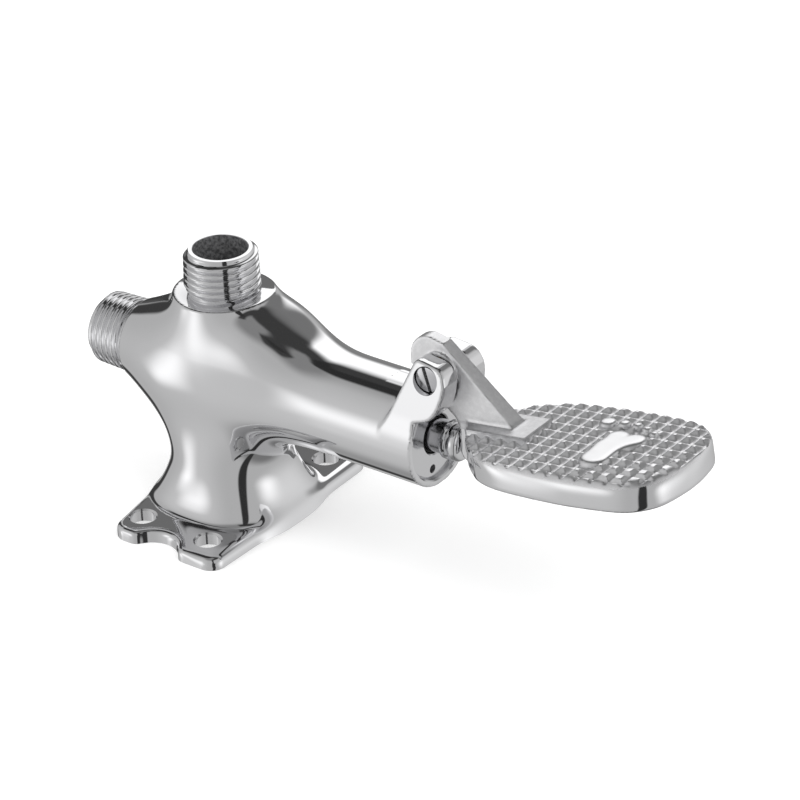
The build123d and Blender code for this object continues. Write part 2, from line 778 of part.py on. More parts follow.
with BuildPart() as pedal:
    # Pad, its top left whole until the tread is cut
    with BuildSketch(pad_plane):
        with BuildLine():
            Spline(pad_outline(), periodic=True)
        make_face()
    extrude(amount=-pad_thickness)
    fillet(pedal.faces().sort_by(Axis.Z)[0].edges(), pad_edge_fillet)
    groove = [(-tread_pitch / 2, 0), (0, -tread_depth), (tread_pitch / 2, 0)]
    rows = int(2 * pad_half_width / tread_pitch) + 2
    columns = int((pad_front - pad_back) / tread_pitch) + 2
    with BuildSketch(Plane(pad_plane.origin, x_dir=(0, 1, 0), z_dir=pad_slope)):
        with GridLocations(tread_pitch, 0, rows, 1):
            Polygon(groove, align=None)
    extrude(amount=2 * pad_front, both=True, mode=Mode.SUBTRACT)
    with BuildSketch(Plane(pad_plane.origin, x_dir=pad_slope, z_dir=(0, -1, 0))):
        with Locations(((pad_front + pad_back) / 2 + tread_offset_x, 0)):
            with GridLocations(tread_pitch, 0, columns, 1):
                Polygon(groove, align=None)
    extrude(amount=2 * pad_half_width, both=True, mode=Mode.SUBTRACT)

    # Plain raised platform at the web's foot
    with BuildSketch(pad_plane.offset(platform_rise)):
        with Locations(((platform_front + pad_back + 3) / 2, 0)):
            Rectangle(platform_front - pad_back - 3, 2 * platform_half)
    extrude(amount=-(platform_rise + tread_depth + 1))

    # Plain smooth foot mark: sole and five toes
    with BuildSketch(pad_plane.offset(-tread_depth)):
        with Locations((heel_along * pad_half_width, -heel_across * pad_half_width)):
            Circle(heel_size * pad_half_width)
        with Locations((ball_along * pad_half_width, ball_across * pad_half_width)):
            Ellipse(ball_length * pad_half_width, ball_width * pad_half_width)
        make_hull()
        for along, across, size in toes:
            with Locations((along * pad_half_width, across * pad_half_width)):
                Circle(size * pad_half_width)
    extrude(amount=tread_depth + mark_rise)

    # The blade joins it, then the bush's hole goes through
    add(blade.part)
    with BuildSketch(Plane.XZ.offset(-2 * web_foot_half)):
        with Locations((pivot_x, pivot_z)):
            Circle(bush_radius + thread_gap)
    extrude(amount=4 * web_foot_half, mode=Mode.SUBTRACT)
pedal.part.label = "pedal"
export_step(pedal.part, "parts/pedal.step")
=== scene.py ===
"""Pedal flush valve: the dressed model, its studio and its camera.

Shapes are written in millimetres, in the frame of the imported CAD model:
+Z up along the outlet, +X along the barrel towards the pedal, +Y across.
"""
import json
from math import asin, atan, atan2, cos, hypot, pi, radians, sin, tan

import bpy
import numpy as np
from mathutils import Matrix, Vector


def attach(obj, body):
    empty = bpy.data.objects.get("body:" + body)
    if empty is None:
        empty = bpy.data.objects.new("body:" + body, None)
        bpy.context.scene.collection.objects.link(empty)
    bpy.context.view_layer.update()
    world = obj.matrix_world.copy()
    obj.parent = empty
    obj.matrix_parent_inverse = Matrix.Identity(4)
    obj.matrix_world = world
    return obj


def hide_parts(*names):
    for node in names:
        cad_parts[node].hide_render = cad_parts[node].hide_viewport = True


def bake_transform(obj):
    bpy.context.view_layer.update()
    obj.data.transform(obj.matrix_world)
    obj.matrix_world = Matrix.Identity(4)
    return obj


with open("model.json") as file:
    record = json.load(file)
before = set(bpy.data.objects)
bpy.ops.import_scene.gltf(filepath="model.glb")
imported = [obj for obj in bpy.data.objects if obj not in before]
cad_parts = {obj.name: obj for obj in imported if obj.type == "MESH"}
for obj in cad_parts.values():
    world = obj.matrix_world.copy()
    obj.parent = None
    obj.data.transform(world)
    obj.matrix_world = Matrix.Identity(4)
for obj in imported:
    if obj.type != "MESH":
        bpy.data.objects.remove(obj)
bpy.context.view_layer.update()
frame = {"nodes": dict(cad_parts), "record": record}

MM = 0.001

# Sizes of the CAD model that the dressed pieces keep
axis_height = 41.3
collar_place = -28.9
collar_radius = 10.9
barrel_front = 70.0
barrel_radius = 13.9
outlet_rise = 22.2
spotface_height = axis_height + outlet_rise
spotface_radius = 13.2
boss_foot_radius = 16.2
thread_pitch = 1.814
thread_turns = 6
thread_undercut = 1.2
thread_lead = 0.7
thread_length = thread_undercut + thread_turns * thread_pitch + thread_lead
thread_crest = 10.3
thread_depth = 1.15
pipe_bore = 7.4
flange_thickness = 3.5
foot_radius = 20.6
hole_spacing = (22.4, 51.6)
hole_radius = 3.5
gland_radius = 12.1
gland_face = barrel_front - 1.4
pivot = (barrel_front + 2.2, axis_height + 20.7)
ear_inner = 3.0
ear_outer = 9.0
ear_lean = asin((barrel_radius - 0.15) / hypot(ear_outer, pivot[1] - axis_height)) - atan(
    ear_outer / (pivot[1] - axis_height))
screw_recess = 0.8
stem_radius = 4.5
button_back = gland_face + 4.3
button_front = button_back + 4.8
nose_radius = 3.5
nose_x = button_front + 0.2 + nose_radius
pad_tilt = radians(8.5)
pad_origin = (pivot[0] + 22.8, pivot[1] - 11.0)
pad_half_width = 20.2
pad_thickness = 8.0
tread_depth = 1.1
tread_pitch = (4.15, 4.15)
tread_valley = (21.0, 0.0)


# ---------------------------------------------------------------- fields
def smooth_union(a, b, reach):
    """The nearer of two distances, with a fillet where they meet."""
    near = np.maximum(reach - np.abs(a - b), 0) / reach
    return np.minimum(a, b) - near ** 3 * reach / 6


def smooth_cut(a, b, reach):
    """Inside both distances, with a rounded edge where they meet."""
    return -smooth_union(-a, -b, reach)


def ease(t):
    """0 below 0 and 1 above 1, with a smooth way between."""
    t = np.clip(t, 0, 1)
    return t * t * (3 - 2 * t)


def smooth_table(knots, blur, spacing=0.1):
    """Functions of the first knot value that run softly through the others."""
    places = np.array([knot[0] for knot in knots], float)
    pad = 4 * blur
    fine = np.arange(places[0] - pad, places[-1] + pad, spacing)
    kernel = np.exp(-0.5 * (np.arange(-pad, pad + spacing, spacing) / blur) ** 2)
    kernel /= kernel.sum()
    tables = []
    for column in range(1, len(knots[0])):
        values = np.interp(fine, places, [knot[column] for knot in knots])
        edge = len(kernel) // 2
        padded = np.pad(values, edge, mode="edge")
        tables.append(np.convolve(padded, kernel, mode="valid")[: len(fine)])
    return lambda at: [np.interp(at, fine, table) for table in tables]


def polygon_distance(px, py, corners):
    """Signed distance to a closed outline, negative inside."""
    best = np.inf
    inside = False
    for (ax, ay), (bx, by) in zip(corners, corners[1:] + corners[:1]):
        ex, ey = bx - ax, by - ay
        length = ex * ex + ey * ey
        if length == 0:
            continue
        t = np.clip(((px - ax) * ex + (py - ay) * ey) / length, 0, 1)
        best = np.minimum(best, (px - ax - t * ex) ** 2 + (py - ay - t * ey) ** 2)
        if ey != 0:
            crosses = ((ay > py) != (by > py)) & (px < ex * (py - ay) / ey + ax)
            inside = np.logical_xor(inside, crosses)
    distance = np.sqrt(best)
    return np.where(inside, -distance, distance)


def arc(centre, radius, start, end, steps=24):
    """Points along an arc, from one angle to another in degrees."""
    angles = [radians(start + (end - start) * i / steps) for i in range(steps + 1)]
    return [(centre[0] + radius * cos(a), centre[1] + radius * sin(a)) for a in angles]


def hull(points):
    """The convex outline round some points, counterclockwise."""
    points = sorted(set(points))
    sides = []
    for order in (points, points[::-1]):
        chain = []
        for p in order:
            while len(chain) > 1:
                (ax, ay), (bx, by) = chain[-2], chain[-1]
                if (bx - ax) * (p[1] - ay) - (by - ay) * (p[0] - ax) > 0:
                    break
                chain.pop()
            chain.append(p)
        sides.append(chain[:-1])
    return sides[0] + sides[1]


def softened(corners, radii, steps=8):
    """An outline whose corners are drawn round by the given lengths."""
    points = []
    for i, (x, y) in enumerate(corners):
        if radii[i] == 0:
            points.append((x, y))
            continue
        ends = []
        for px, py in (corners[i - 1], corners[(i + 1) % len(corners)]):
            away = hypot(px - x, py - y)
            ends.append((x + (px - x) * radii[i] / away, y + (py - y) * radii[i] / away))
        for k in range(steps + 1):
            t = k / steps
            points.append(tuple((1 - t) ** 2 * a + 2 * t * (1 - t) * b + t * t * c
                                for a, b, c in zip(ends[0], (x, y), ends[1])))
    return points


# The bulb, shoulder and barrel: place, half width, height over the axis, squareness
arch_at = smooth_table([
    (collar_place - 8, 8.3, 7.6, 2.0),
    (collar_place, collar_radius, collar_radius, 2.0),
    (-24.9, 12.4, 12.6, 2.0),
    (-18.9, 14.7, 15.8, 2.0),
    (-12.0, 16.5, 19.3, 2.1),
    (-4.0, 16.6, 21.7, 2.3),
    (5.0, 16.6, 22.1, 2.6),
    (13.2, 16.2, 22.1, 3.0),
    (19.0, 15.6, 21.1, 2.8),
    (24.0, 14.8, 18.4, 2.5),
    (29.0, 14.3, 15.7, 2.3),
    (34.0, 14.0, 14.4, 2.1),
    (39.0, barrel_radius, barrel_radius, 2.0),
    (barrel_front, barrel_radius, barrel_radius, 2.0),
], blur=3.0)

# The column: height, half length along the barrel, half width across it, squareness
column_at = smooth_table([
    (-6.0, 25.5, 24.6, 2.8),
    (0.0, 22.4, 21.7, 2.8),
    (flange_thickness, foot_radius, 20.1, 2.7),
    (7.7, 18.2, 17.9, 2.5),
    (13.5, 16.6, 16.5, 2.1),
    (18.0, 16.8, 16.2, 2.0),
    (23.0, 19.0, 15.9, 2.0),
    (28.3, 22.6, 15.6, 2.0),
    (36.3, 27.5, 15.0, 2.0),
    (axis_height, 29.0, 14.5, 2.0),
    (axis_height + 6, 30.5, 14.0, 2.0),
], blur=1.8)

# The flange: its four rounded corners, and the round notch in each of its ends
lobe_radius = 4.5
lobes = [(-11.3, 29.6), (15.4, 29.6), (-11.3, -29.6), (15.4, -29.6)]
notch_radius = 7.7
notch_place = 37.0
flange_outline = hull(
    [p for lobe in lobes for p in arc(lobe, lobe_radius, 0, 360, 60)]
    + arc((0, 0), foot_radius, 0, 360, 120)
)


def arch_distance(x, y, z):
    """The bulb, shoulder and barrel, round below the axis and taller above it."""
    half, height, square = arch_at(x)
    rise = z - axis_height
    tall = half + (height - half) * ease(rise / (0.6 * half))
    power = 2 + (square - 2) * ease(rise / (0.6 * half))
    reach = np.sqrt(y * y + rise * rise) + 1e-6
    share = ((np.abs(y) / half) ** power + (np.abs(rise) / tall) ** power) ** (1 / power)
    solid = reach - reach / np.maximum(share, 1e-6)
    solid = smooth_cut(solid, collar_place - x, 1.2)
    return smooth_cut(solid, x - barrel_front, 0.6)


def column_distance(x, y, z):
    """The column from the flange up into the bulb."""
    long, wide, power = column_at(z)
    reach = np.sqrt(x * x + y * y) + 1e-6
    share = ((np.abs(x) / long) ** power + (np.abs(y) / wide) ** power) ** (1 / power)
    solid = reach - reach / np.maximum(share, 1e-6)
    solid = smooth_cut(solid, z - axis_height - 3, 14.0)
    return np.maximum(solid, -z - 2)


def boss_distance(x, y, z):
    """The round boss under the outlet, wider towards its foot."""
    lean = (boss_foot_radius - spotface_radius) / outlet_rise
    reach = np.sqrt(x * x + y * y)
    solid = (reach - spotface_radius - lean * (spotface_height - z)) / hypot(1, lean)
    solid = smooth_cut(solid, z - spotface_height, 0.8)
    return smooth_cut(solid, axis_height + 1 - z, 12.0)


def flange_distance(x, y, z):
    """The base flange, with a softer edge under the barrel."""
    flat = polygon_distance(x, y, flange_outline)
    notch = notch_radius - np.sqrt(x * x + (np.abs(y) - notch_place) ** 2)
    flat = smooth_cut(flat, notch, 2.5)
    solid = smooth_cut(flat, z - flange_thickness, 2.6 + 2.4 * ease((x - 8) / 8))
    return np.maximum(solid, -z - 2)


# The ears from the side: place, height, and how far each corner is drawn round
ear_corners = [
    (60.5, axis_height + 5.5, 0), (68.4, 66.8, 1.8), (76.8, 65.7, 2.6), (78.1, 61.5, 0),
    (77.8, 58.5, 0), (77.1, 55.9, 0), (75.9, 53.2, 1.5), (74.0, 51.5, 1.5), (70.0, 50.3, 0),
    (70.0, axis_height - 2, 0), (60.5, axis_height - 2, 0),
]
ear_outline = softened([corner[:2] for corner in ear_corners],
                       [corner[2] for corner in ear_corners])
slot_start = 56.0


def ear_distance(x, y, z):
    """Both clevis ears as one block; the slot between them is cut later."""
    flat = polygon_distance(x, z, ear_outline)
    side = (np.abs(y) - ear_outer - tan(ear_lean) * (pivot[1] - z)) * cos(ear_lean)
    solid = smooth_cut(flat, side, 1.3)
    return smooth_cut(solid, axis_height + 3.3 - z, 5.0)


def body_distance(x, y, z):
    """The whole casting without its bores, with the slot between the ears."""
    solid = smooth_union(arch_distance(x, y, z), boss_distance(x, y, z), 9.0)
    solid = smooth_union(solid, column_distance(x, y, z), 9.0)
    solid = smooth_union(solid, flange_distance(x, y, z), 3.0)
    solid = smooth_union(solid, ear_distance(x, y, z), 2.0)
    from_axis = np.sqrt(y * y + (z - axis_height) ** 2)
    slot = np.maximum(np.abs(y) - ear_inner, barrel_radius - from_axis)
    slot = np.maximum(slot, np.maximum(slot_start - x, axis_height - z))
    return smooth_cut(solid, -slot, 0.6)


# One side of the pad's rim from front to back: place along the pad, half width
rim_middle = 18.4
rim_side = [
    (51.4, 0.0), (50.6, 7.5), (49.0, 12.9), (45.2, 17.0), (41.0, 18.9), (33.0, 19.8),
    (24.0, pad_half_width), (11.0, 19.5), (2.5, 18.3), (-3.5, 16.0), (-6.5, 13.6), (-9.4, 11.0),
    (-12.5, 7.5), (-14.6, 3.0), (-14.9, 0.0),
]
rim_loop = rim_side + [(u, -v) for u, v in rim_side[-2:0:-1]]
rim_curve = []
for i, middle in enumerate(rim_loop):
    before, after, beyond = (rim_loop[(i + step) % len(rim_loop)] for step in (-1, 1, 2))
    for t in (0.0, 0.125, 0.25, 0.375, 0.5, 0.625, 0.75, 0.875):
        rim_curve.append(tuple(
            0.5 * (2 * b + (c - a) * t + (2 * a - 5 * b + 4 * c - d) * t * t
                   + (3 * b - a - 3 * c + d) * t ** 3)
            for a, b, c, d in zip(before, middle, after, beyond)))
rim_turn = sorted((atan2(v, u - rim_middle), hypot(u - rim_middle, v)) for u, v in rim_curve)
rim_knots = [(a + turn * 2 * pi, r) for turn in (-1, 0, 1) for a, r in rim_turn]
rim_at = smooth_table(rim_knots, blur=0.04, spacing=0.004)


def pad_outline_distance(u, v):
    """Distance from the pad's rim, which is kept as a reach by angle round its middle."""
    along = u - rim_middle
    reach = np.sqrt(along * along + v * v) + 1e-6
    angle = np.arctan2(v, along)
    rim = rim_at(angle)[0]
    slope = (rim_at(angle + 0.01)[0] - rim_at(angle - 0.01)[0]) / 0.02
    return (reach - rim) / np.sqrt(1 + (slope / np.maximum(reach, 8.0)) ** 2)


def tread_height(u, v):
    """Blunt pyramids between two sets of grooves, 0 at their tops, worn where feet tread."""
    across = [((c - valley) / pitch) % 1.0 for c, valley, pitch
              in zip((u, v), tread_valley, tread_pitch)]
    tips = np.maximum(*[1 - 2 * np.minimum(a, 1 - a) for a in across])
    wear = 0.12 + 0.36 * ease((0.6 * u - 0.8 * v - 22) / 16)
    return -tread_depth * np.clip((tips - wear) / (0.93 - wear), 0, 1)


# The foot mark on the pad: round toes, and a sole of three limbs
toes = [(19.5, 10.6, 2.4), (24.0, 11.4, 1.7), (27.9, 11.4, 1.5), (31.4, 10.4, 1.4),
        (34.6, 8.6, 1.3)]
sole = [((27.6, -7.6), (27.4, -1.0), 4.2), ((27.4, -1.0), (26.6, 4.2), 3.5),
        ((27.4, -1.0), (31.8, 3.8), 3.5)]
mark_rise = 0.5


def capsule_distance(u, v, start, end, radius):
    """Signed distance to a line that is thick and round at both ends."""
    eu, ev = end[0] - start[0], end[1] - start[1]
    t = np.clip(((u - start[0]) * eu + (v - start[1]) * ev) / (eu * eu + ev * ev), 0, 1)
    return np.hypot(u - start[0] - t * eu, v - start[1] - t * ev) - radius


def mark_distance(u, v, w):
    """A plain raised foot mark: one sole and five toes."""
    flat = capsule_distance(u, v, *sole[0])
    for limb in sole[1:]:
        flat = smooth_union(flat, capsule_distance(u, v, *limb), 2.5)
    solid = smooth_cut(flat, w - mark_rise, 2.6)
    for toe_u, toe_v, radius in toes:
        toe = np.hypot(u - toe_u, v - toe_v) - radius
        solid = np.minimum(solid, smooth_cut(toe, w - mark_rise, 1.9))
    return np.maximum(solid, -w - tread_depth - 1)


# The pedal's lug, web and nose from the side, and the step where the web meets the pad
lug_radius = 6.3
lug_bore = 4.03
hub_radius = 5.2
hub_half = 2.8
step_half_width = 6.25
step_end = 5.5
step_rise = 0.9
blade_outline = (
    [(pivot[0] - 9.5, pivot[1] - 0.6)]
    + arc((pivot[0] - 3.5, pivot[1] + 2.4), 6.0, 180, 90)
    + [(pivot[0] + 0.7, pivot[1] + 7.6), (pivot[0] + 22.2, pivot[1] - 9.8),
       (pivot[0] + 22.2, pivot[1] - 15.0), (nose_x + nose_radius, axis_height + 1)]
    + arc((nose_x, axis_height), nose_radius, 0, -180)
    + [(nose_x - nose_radius, axis_height + 5.2), (nose_x - 3.75, axis_height + 6.6),
       (nose_x - 4.3, axis_height + 8.0), (nose_x - 5.2, axis_height + 9.0),
       (nose_x - 6.3, axis_height + 9.7), (pivot[0] + 1.9, axis_height + 10.6)]
    + arc(pivot, lug_radius, -75, -160)
)


def pedal_distance(u, v, w):
    """The pedal in the pad's own frame: u along it, v across it, w over its tread."""
    x = pad_origin[0] + u * cos(pad_tilt) - w * sin(pad_tilt)
    z = pad_origin[1] + u * sin(pad_tilt) + w * cos(pad_tilt)
    rim = pad_outline_distance(u, v)
    pad = smooth_cut(rim, w - 0.3, 4 + 3.5 * ease((0.5 * u - v - 14) / 14))
    pad = smooth_cut(pad, -w - pad_thickness, 1.5)
    pad = smooth_cut(pad, w - tread_height(u, v), 0.2)
    platform = np.maximum(np.abs(v) - step_half_width, u - step_end)
    platform = smooth_cut(platform, w - step_rise, 0.4)
    platform = smooth_cut(np.maximum(platform, rim + 0.6), -w - 4.0, 0.4)
    pad = np.minimum(np.minimum(pad, platform), mark_distance(u, v, w))
    half = np.interp(z, [pivot[1] - 9.8, pivot[1] + 8.4], [2.75, 1.9])
    blade = smooth_cut(polygon_distance(x, z, blade_outline), np.abs(v) - half, 0.9)
    from_pivot = np.hypot(x - pivot[0], z - pivot[1])
    hub = smooth_cut(from_pivot - hub_radius, np.abs(v) - hub_half, 0.4)
    blade = smooth_union(blade, hub, 0.5)
    solid = smooth_union(pad, blade, 1.6)
    return np.maximum(solid, lug_bore - from_pivot)


# ---------------------------------------------------------------- meshes
def surface_net(field, low, high, cell):
    """Quads on the field's zero surface, with every corner moved onto it."""
    low, cell = np.array(low, float), np.array(cell, float)
    steps = np.ceil((np.array(high) - low) / cell).astype(int) + 1
    axes = [low[i] + cell[i] * np.arange(steps[i]) for i in range(3)]
    values = field(*np.meshgrid(*axes, indexing="ij", sparse=True))
    values = np.broadcast_to(values, tuple(steps))
    cells = tuple(steps - 1)
    total = np.zeros((int(np.prod(cells)), 3))
    count = np.zeros(len(total))
    quads = []
    for axis in range(3):
        near = values[tuple(slice(None, -1) if i == axis else slice(None) for i in range(3))]
        far = values[tuple(slice(1, None) if i == axis else slice(None) for i in range(3))]
        at = np.argwhere((near < 0) != (far < 0))
        start, end = near[tuple(at.T)], far[tuple(at.T)]
        point = low + cell * at
        point[:, axis] += cell[axis] * start / (start - end)
        others = [i for i in range(3) if i != axis]
        ring = []
        for du, dv in ((1, 1), (0, 1), (0, 0), (1, 0)):
            corner = at.copy()
            corner[:, others[0]] -= du
            corner[:, others[1]] -= dv
            ring.append(np.ravel_multi_index(corner.T, cells, mode="clip"))
        for flat in ring:
            for i in range(3):
                total[:, i] += np.bincount(flat, point[:, i], len(total))
            count += np.bincount(flat, minlength=len(total))
        quad = np.stack(ring, 1)
        outward = (start < 0) if axis != 1 else (start >= 0)
        quads.append(np.where(outward[:, None], quad, quad[:, ::-1]))
    used = np.flatnonzero(count)
    number = np.zeros(len(total), int)
    number[used] = np.arange(len(used))
    corners = total[used] / count[used][:, None]
    for _ in range(4):
        corners -= np.clip(newton_step(field, corners), -cell, cell)
    return corners, number[np.concatenate(quads)]


def gradient(field, corners, reach=0.01):
    """How the field changes along x, y and z at each corner."""
    columns = []
    for axis in range(3):
        shift = np.zeros(3)
        shift[axis] = reach
        ahead, behind = (corners + shift).T, (corners - shift).T
        columns.append((field(*ahead) - field(*behind)) / (2 * reach))
    return np.stack(columns, 1)


def newton_step(field, corners):
    """What each corner is off the zero surface, along the field's slope."""
    slope = gradient(field, corners)
    size = np.maximum((slope ** 2).sum(1), 0.05)
    return (field(*corners.T) / size)[:, None] * slope


def new_object(name, corners, faces, materials, indices=None):
    """A mesh object from corners in millimetres, with a material index for each face."""
    mesh = bpy.data.meshes.new(name)
    mesh.from_pydata((np.asarray(corners) * MM).tolist(), [], np.asarray(faces).tolist()
                     if isinstance(faces, np.ndarray) else faces)
    for material in materials:
        mesh.materials.append(material)
    if indices is not None:
        mesh.polygons.foreach_set("material_index", indices)
    mesh.validate()
    obj = bpy.data.objects.new(name, mesh)
    bpy.context.scene.collection.objects.link(obj)
    return obj


def shade(obj, angle=32):
    """Smooth shading, with edges above the angle kept sharp."""
    obj.data.polygons.foreach_set("use_smooth", [True] * len(obj.data.polygons))
    obj.data.set_sharp_from_angle(angle=radians(angle))
    return obj


def shade_from_field(obj, field):
    """Shades the cast faces by the field itself, so reflections run clean over them."""
    mesh = obj.data
    shade(obj)
    normals = np.zeros(len(mesh.loops) * 3)
    mesh.corner_normals.foreach_get("vector", normals)
    normals = normals.reshape(-1, 3)
    places = np.zeros(len(mesh.vertices) * 3)
    mesh.vertices.foreach_get("co", places)
    slope = gradient(field, places.reshape(-1, 3) / MM, 0.03)
    slope /= np.linalg.norm(slope, axis=1)[:, None] + 1e-9
    loop_vertex = np.zeros(len(mesh.loops), int)
    mesh.loops.foreach_get("vertex_index", loop_vertex)
    material = np.zeros(len(mesh.polygons), int)
    mesh.polygons.foreach_get("material_index", material)
    sizes = np.zeros(len(mesh.polygons), int)
    mesh.polygons.foreach_get("loop_total", sizes)
    flat = np.zeros(len(mesh.polygons) * 3)
    mesh.polygons.foreach_get("normal", flat)
    face = np.repeat(flat.reshape(-1, 3), sizes, axis=0)
    cast = np.repeat(material == 0, sizes)
    target = slope[loop_vertex]
    fits = cast & ((target * face).sum(1) > 0.8)
    normals[fits] = target[fits]
    mesh.normals_split_custom_set(normals.tolist())


def turn(profile, segments=128):
    """Corners and faces of a solid turned about +Z, from (height, radius) points."""
    corners, rings, faces = [], [], []
    for height, radius in profile:
        if radius == 0:
            rings.append([len(corners)] * segments)
            corners.append((0, 0, height))
            continue
        first = len(corners)
        rings.append([first + i for i in range(segments)])
        for i in range(segments):
            angle = 2 * pi * i / segments
            corners.append((radius * cos(angle), radius * sin(angle), height))
    closed = profile[0][1] != 0
    following = rings[1:] + rings[:1] if closed else rings[1:]
    for low_ring, high_ring in zip(rings, following):
        for i in range(segments):
            j = (i + 1) % segments
            face = [low_ring[i], low_ring[j], high_ring[j], high_ring[i]]
            faces.append(list(dict.fromkeys(face)))
    return np.array(corners, float), faces


def place_along(corners, origin, direction):
    """Turns corners made about +Z onto another line."""
    turn_to = Vector((0, 0, 1)).rotation_difference(Vector(direction)).to_matrix()
    return corners @ np.array(turn_to).T + np.array(origin)


def turned_object(name, profile, origin, direction, materials, segments=128):
    """A turned piece from (height, radius) points, on the given line."""
    corners, faces = turn(profile, segments)
    return shade(new_object(name, place_along(corners, origin, direction), faces, materials))


def cutter(profile, origin, direction, segments=128, finish=1):
    """A turned solid whose faces bring the numbered material to what it cuts."""
    corners, faces = turn(profile, segments)
    obj = new_object("cutter", place_along(corners, origin, direction), faces, [])
    for _ in range(finish + 1):
        obj.data.materials.append(None)
    obj.data.polygons.foreach_set("material_index", [finish] * len(obj.data.polygons))
    return obj


def carve(obj, cutters):
    """Takes the cutters out of a piece and deletes them."""
    for tool in cutters:
        step = obj.modifiers.new("cut", "BOOLEAN")
        step.operation = "DIFFERENCE"
        step.solver = "EXACT"
        step.object = tool
    view_layer = bpy.context.evaluated_depsgraph_get()
    mesh = bpy.data.meshes.new_from_object(obj.evaluated_get(view_layer))
    obj.modifiers.clear()
    obj.data = mesh
    for tool in cutters:
        bpy.data.objects.remove(tool)


# ---------------------------------------------------------------- materials
def metal(name, colour, roughness, spread, bump, scale, metallic=1.0):
    """A finish whose roughness and surface wander a little, as polished metal does."""
    material = bpy.data.materials.new(name)
    material.use_nodes = True
    nodes, links = material.node_tree.nodes, material.node_tree.links
    shader = nodes["Principled BSDF"]
    shader.inputs["Base Color"].default_value = (*colour, 1)
    shader.inputs["Metallic"].default_value = metallic
    place = nodes.new("ShaderNodeTexCoord")
    noise = nodes.new("ShaderNodeTexNoise")
    noise.inputs["Scale"].default_value = scale
    noise.inputs["Detail"].default_value = 4
    links.new(place.outputs["Object"], noise.inputs["Vector"])
    spread_node = nodes.new("ShaderNodeMapRange")
    spread_node.inputs["To Min"].default_value = roughness - spread
    spread_node.inputs["To Max"].default_value = roughness + spread
    links.new(noise.outputs["Fac"], spread_node.inputs["Value"])
    links.new(spread_node.outputs["Result"], shader.inputs["Roughness"])
    if bump:
        relief = nodes.new("ShaderNodeBump")
        relief.inputs["Strength"].default_value = bump
        relief.inputs["Distance"].default_value = 0.0002
        links.new(noise.outputs["Fac"], relief.inputs["Height"])
        links.new(relief.outputs["Normal"], shader.inputs["Normal"])
    return material


def speckled(name, dark, light, roughness, scale, metallic, relief=0.6):
    """A rough cast or moulded skin with fine specks in its colour."""
    material = metal(name, dark, roughness, 0.1 * relief + 0.03, relief, scale, metallic)
    nodes, links = material.node_tree.nodes, material.node_tree.links
    noise = nodes["Noise Texture"]
    noise.inputs["Roughness"].default_value = 0.7
    ramp = nodes.new("ShaderNodeValToRGB")
    ramp.color_ramp.elements[0].position = 0.42
    ramp.color_ramp.elements[0].color = (*dark, 1)
    ramp.color_ramp.elements[1].position = 0.66
    ramp.color_ramp.elements[1].color = (*light, 1)
    links.new(noise.outputs["Fac"], ramp.inputs["Fac"])
    links.new(ramp.outputs["Color"], nodes["Principled BSDF"].inputs["Base Color"])
    return material


chrome = metal("chrome_polished", (0.80, 0.80, 0.81), 0.05, 0.015, 0.0, 60)
chrome_machined = metal("chrome_machined", (0.76, 0.76, 0.77), 0.14, 0.04, 0.05, 900)
satin = speckled("chrome_satin", (0.82, 0.82, 0.83), (0.91, 0.91, 0.92), 0.36, 700, 1.0, 0.15)
# A darker copy of the satin: painted shade for the step at the foot of the web
satin_shaded = speckled("chrome_satin_painted_shade", (0.68, 0.68, 0.69), (0.80, 0.80, 0.81), 0.38, 700, 1.0, 0.2)
worn = metal("chrome_worn", (0.86, 0.86, 0.87), 0.3, 0.05, 0.05, 300)
# Rough cast skin for the walls of holes and cuts; its dark colour is painted shade, the shade in
# the bores, the key holes and the screw's slot
inside = speckled("cast_skin_and_hole_shade", (0.16, 0.16, 0.165), (0.46, 0.46, 0.47), 0.6, 1100, 0.6)
steel = metal("steel_turned", (0.66, 0.66, 0.68), 0.2, 0.05, 0.05, 700)
spring_steel = metal("steel_drawn", (0.42, 0.42, 0.44), 0.3, 0.08, 0.1, 900)
brass = metal("brass_turned", (0.72, 0.53, 0.26), 0.26, 0.08, 0.08, 500)
rubber = speckled("rubber_black", (0.012, 0.012, 0.012), (0.05, 0.05, 0.05), 0.7, 800, 0.0)
fibre = speckled("fibre_red", (0.22, 0.06, 0.04), (0.4, 0.14, 0.1), 0.8, 1200, 0.0)

node_materials = {
    "body_chrome": chrome, "pedal_chrome": satin, "bright_steel": steel, "brass": brass,
    "spring_steel": spring_steel, "rubber": rubber, "fibre": fibre,
}
for entry in frame["record"]["subparts"]:
    node = frame["nodes"][entry["node"]]
    node.data.materials.clear()
    node.data.materials.append(node_materials[entry["material_slot"]])


# ---------------------------------------------------------------- pieces
def dress(obj, body, slot, *nodes):
    """Puts a piece on its body and hides the CAD parts that it stands for."""
    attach(obj, body)
    if nodes:
        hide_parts(*nodes)
    return obj


# Casting
cell = 0.6
corners, quads = surface_net(body_distance, (-30, -35.5, -3.1), (79.5, 35.5, 69.5), (cell,) * 3)
casting = new_object("casting", corners, quads, [chrome, inside, chrome_machined])

# What is cut from it: (height, radius) points along each cut's own line
below_floor = [(-8, 0), (-8, 80), (0, 80), (0, 0)]
waterway = [
    (-45.0, 0), (-45.0, 7.42), (-27.0, 7.42), (-27.0, 9.3), (-15.0, 9.3), (-15.0, 6.8),
    (-9.6, 6.8), (-9.6, 8.6), (22.0, 8.6), (22.0, 9.4), (56.0, 9.4), (56.0, 0),
]
barrel_mouth = [
    (55.0, 0), (55.0, gland_radius), (barrel_front - 0.35, gland_radius),
    (barrel_front + 0.5, gland_radius + 0.85), (barrel_front + 0.5, 0),
]
outlet_bore = [(0, 0), (0, pipe_bore + 0.02), (30, pipe_bore + 0.02), (30, 0)]
base_core = [(-1, 0), (-1, 9.0), (18.5, 9.0), (20.0, 7.5), (20.0, 0)]
pivot_hole = [(-15, 0), (-15, 3.7), (-6.0, 3.7), (-6.0, 2.53), (15, 2.53), (15, 0)]
